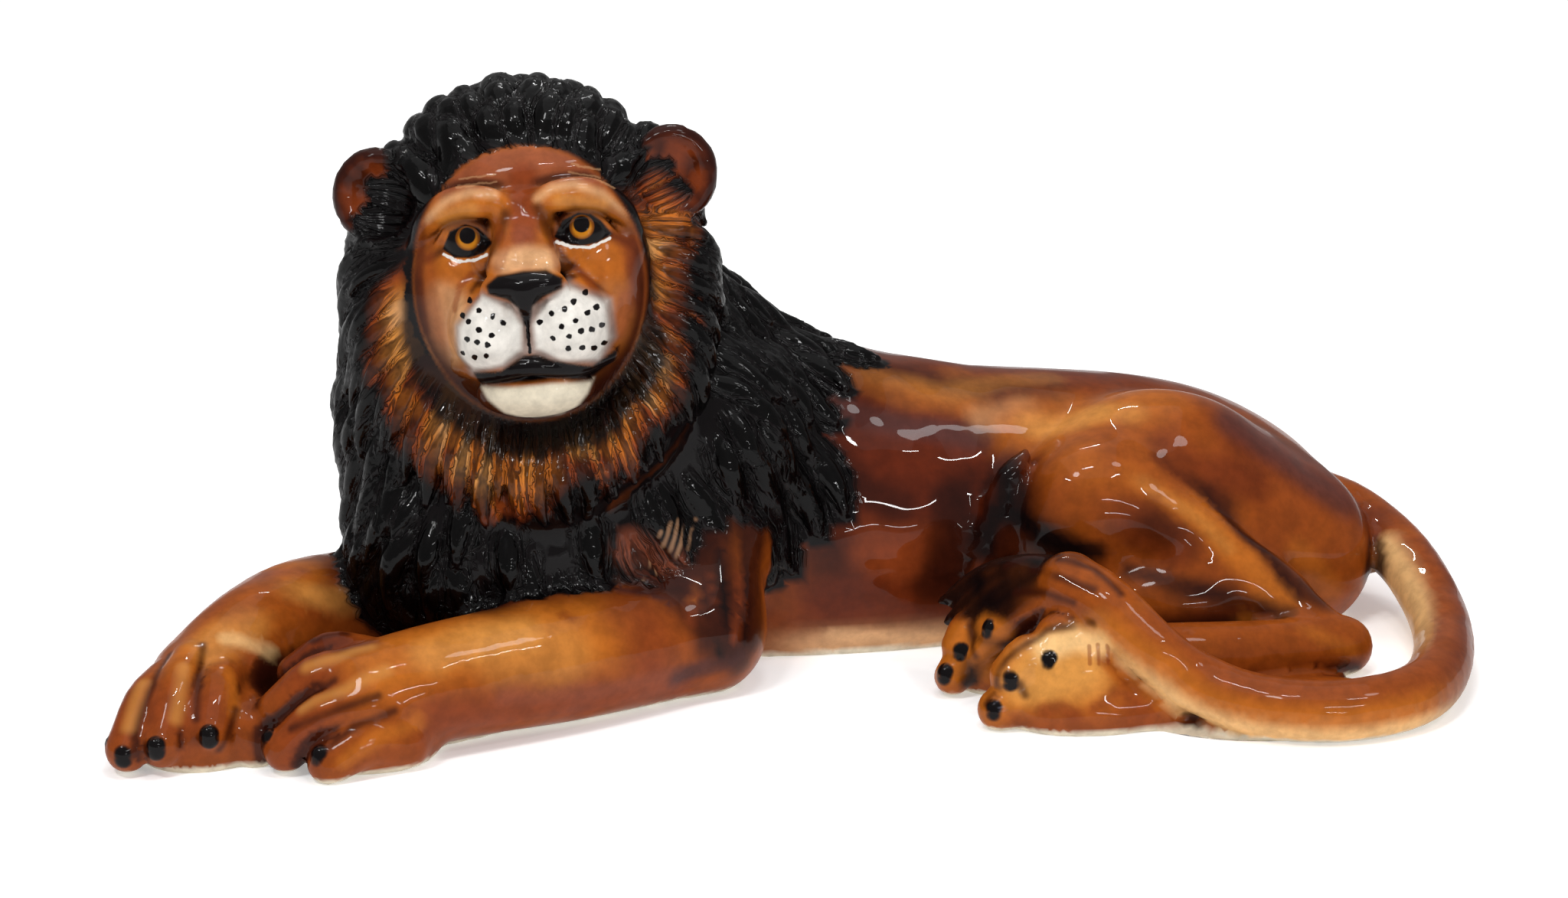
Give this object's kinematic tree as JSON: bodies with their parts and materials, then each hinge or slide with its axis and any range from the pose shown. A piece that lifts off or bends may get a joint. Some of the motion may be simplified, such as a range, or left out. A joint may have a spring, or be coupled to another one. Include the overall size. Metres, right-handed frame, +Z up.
{
  "type": "ceramic lion sculpture",
  "caption": "Glazed ceramic lion lying down with its head turned to the side, forepaws stretched out in front and the tail curled round over the hind feet",
  "frame": {"origin": "centre of the footprint's bounding box, on the flat underside", "axes": "+Z up; +X from the head end towards the tail; the lion's left flank and its turned face look towards -Y"},
  "size_m": [0.7758, 0.3622, 0.3409],
  "materials": {
    "glaze": "high-gloss clear glaze over airbrushed amber brown, with a near-black mane"
  },
  "bodies": {
    "root": {"lion": "glaze"}
  },
  "joints": []
}
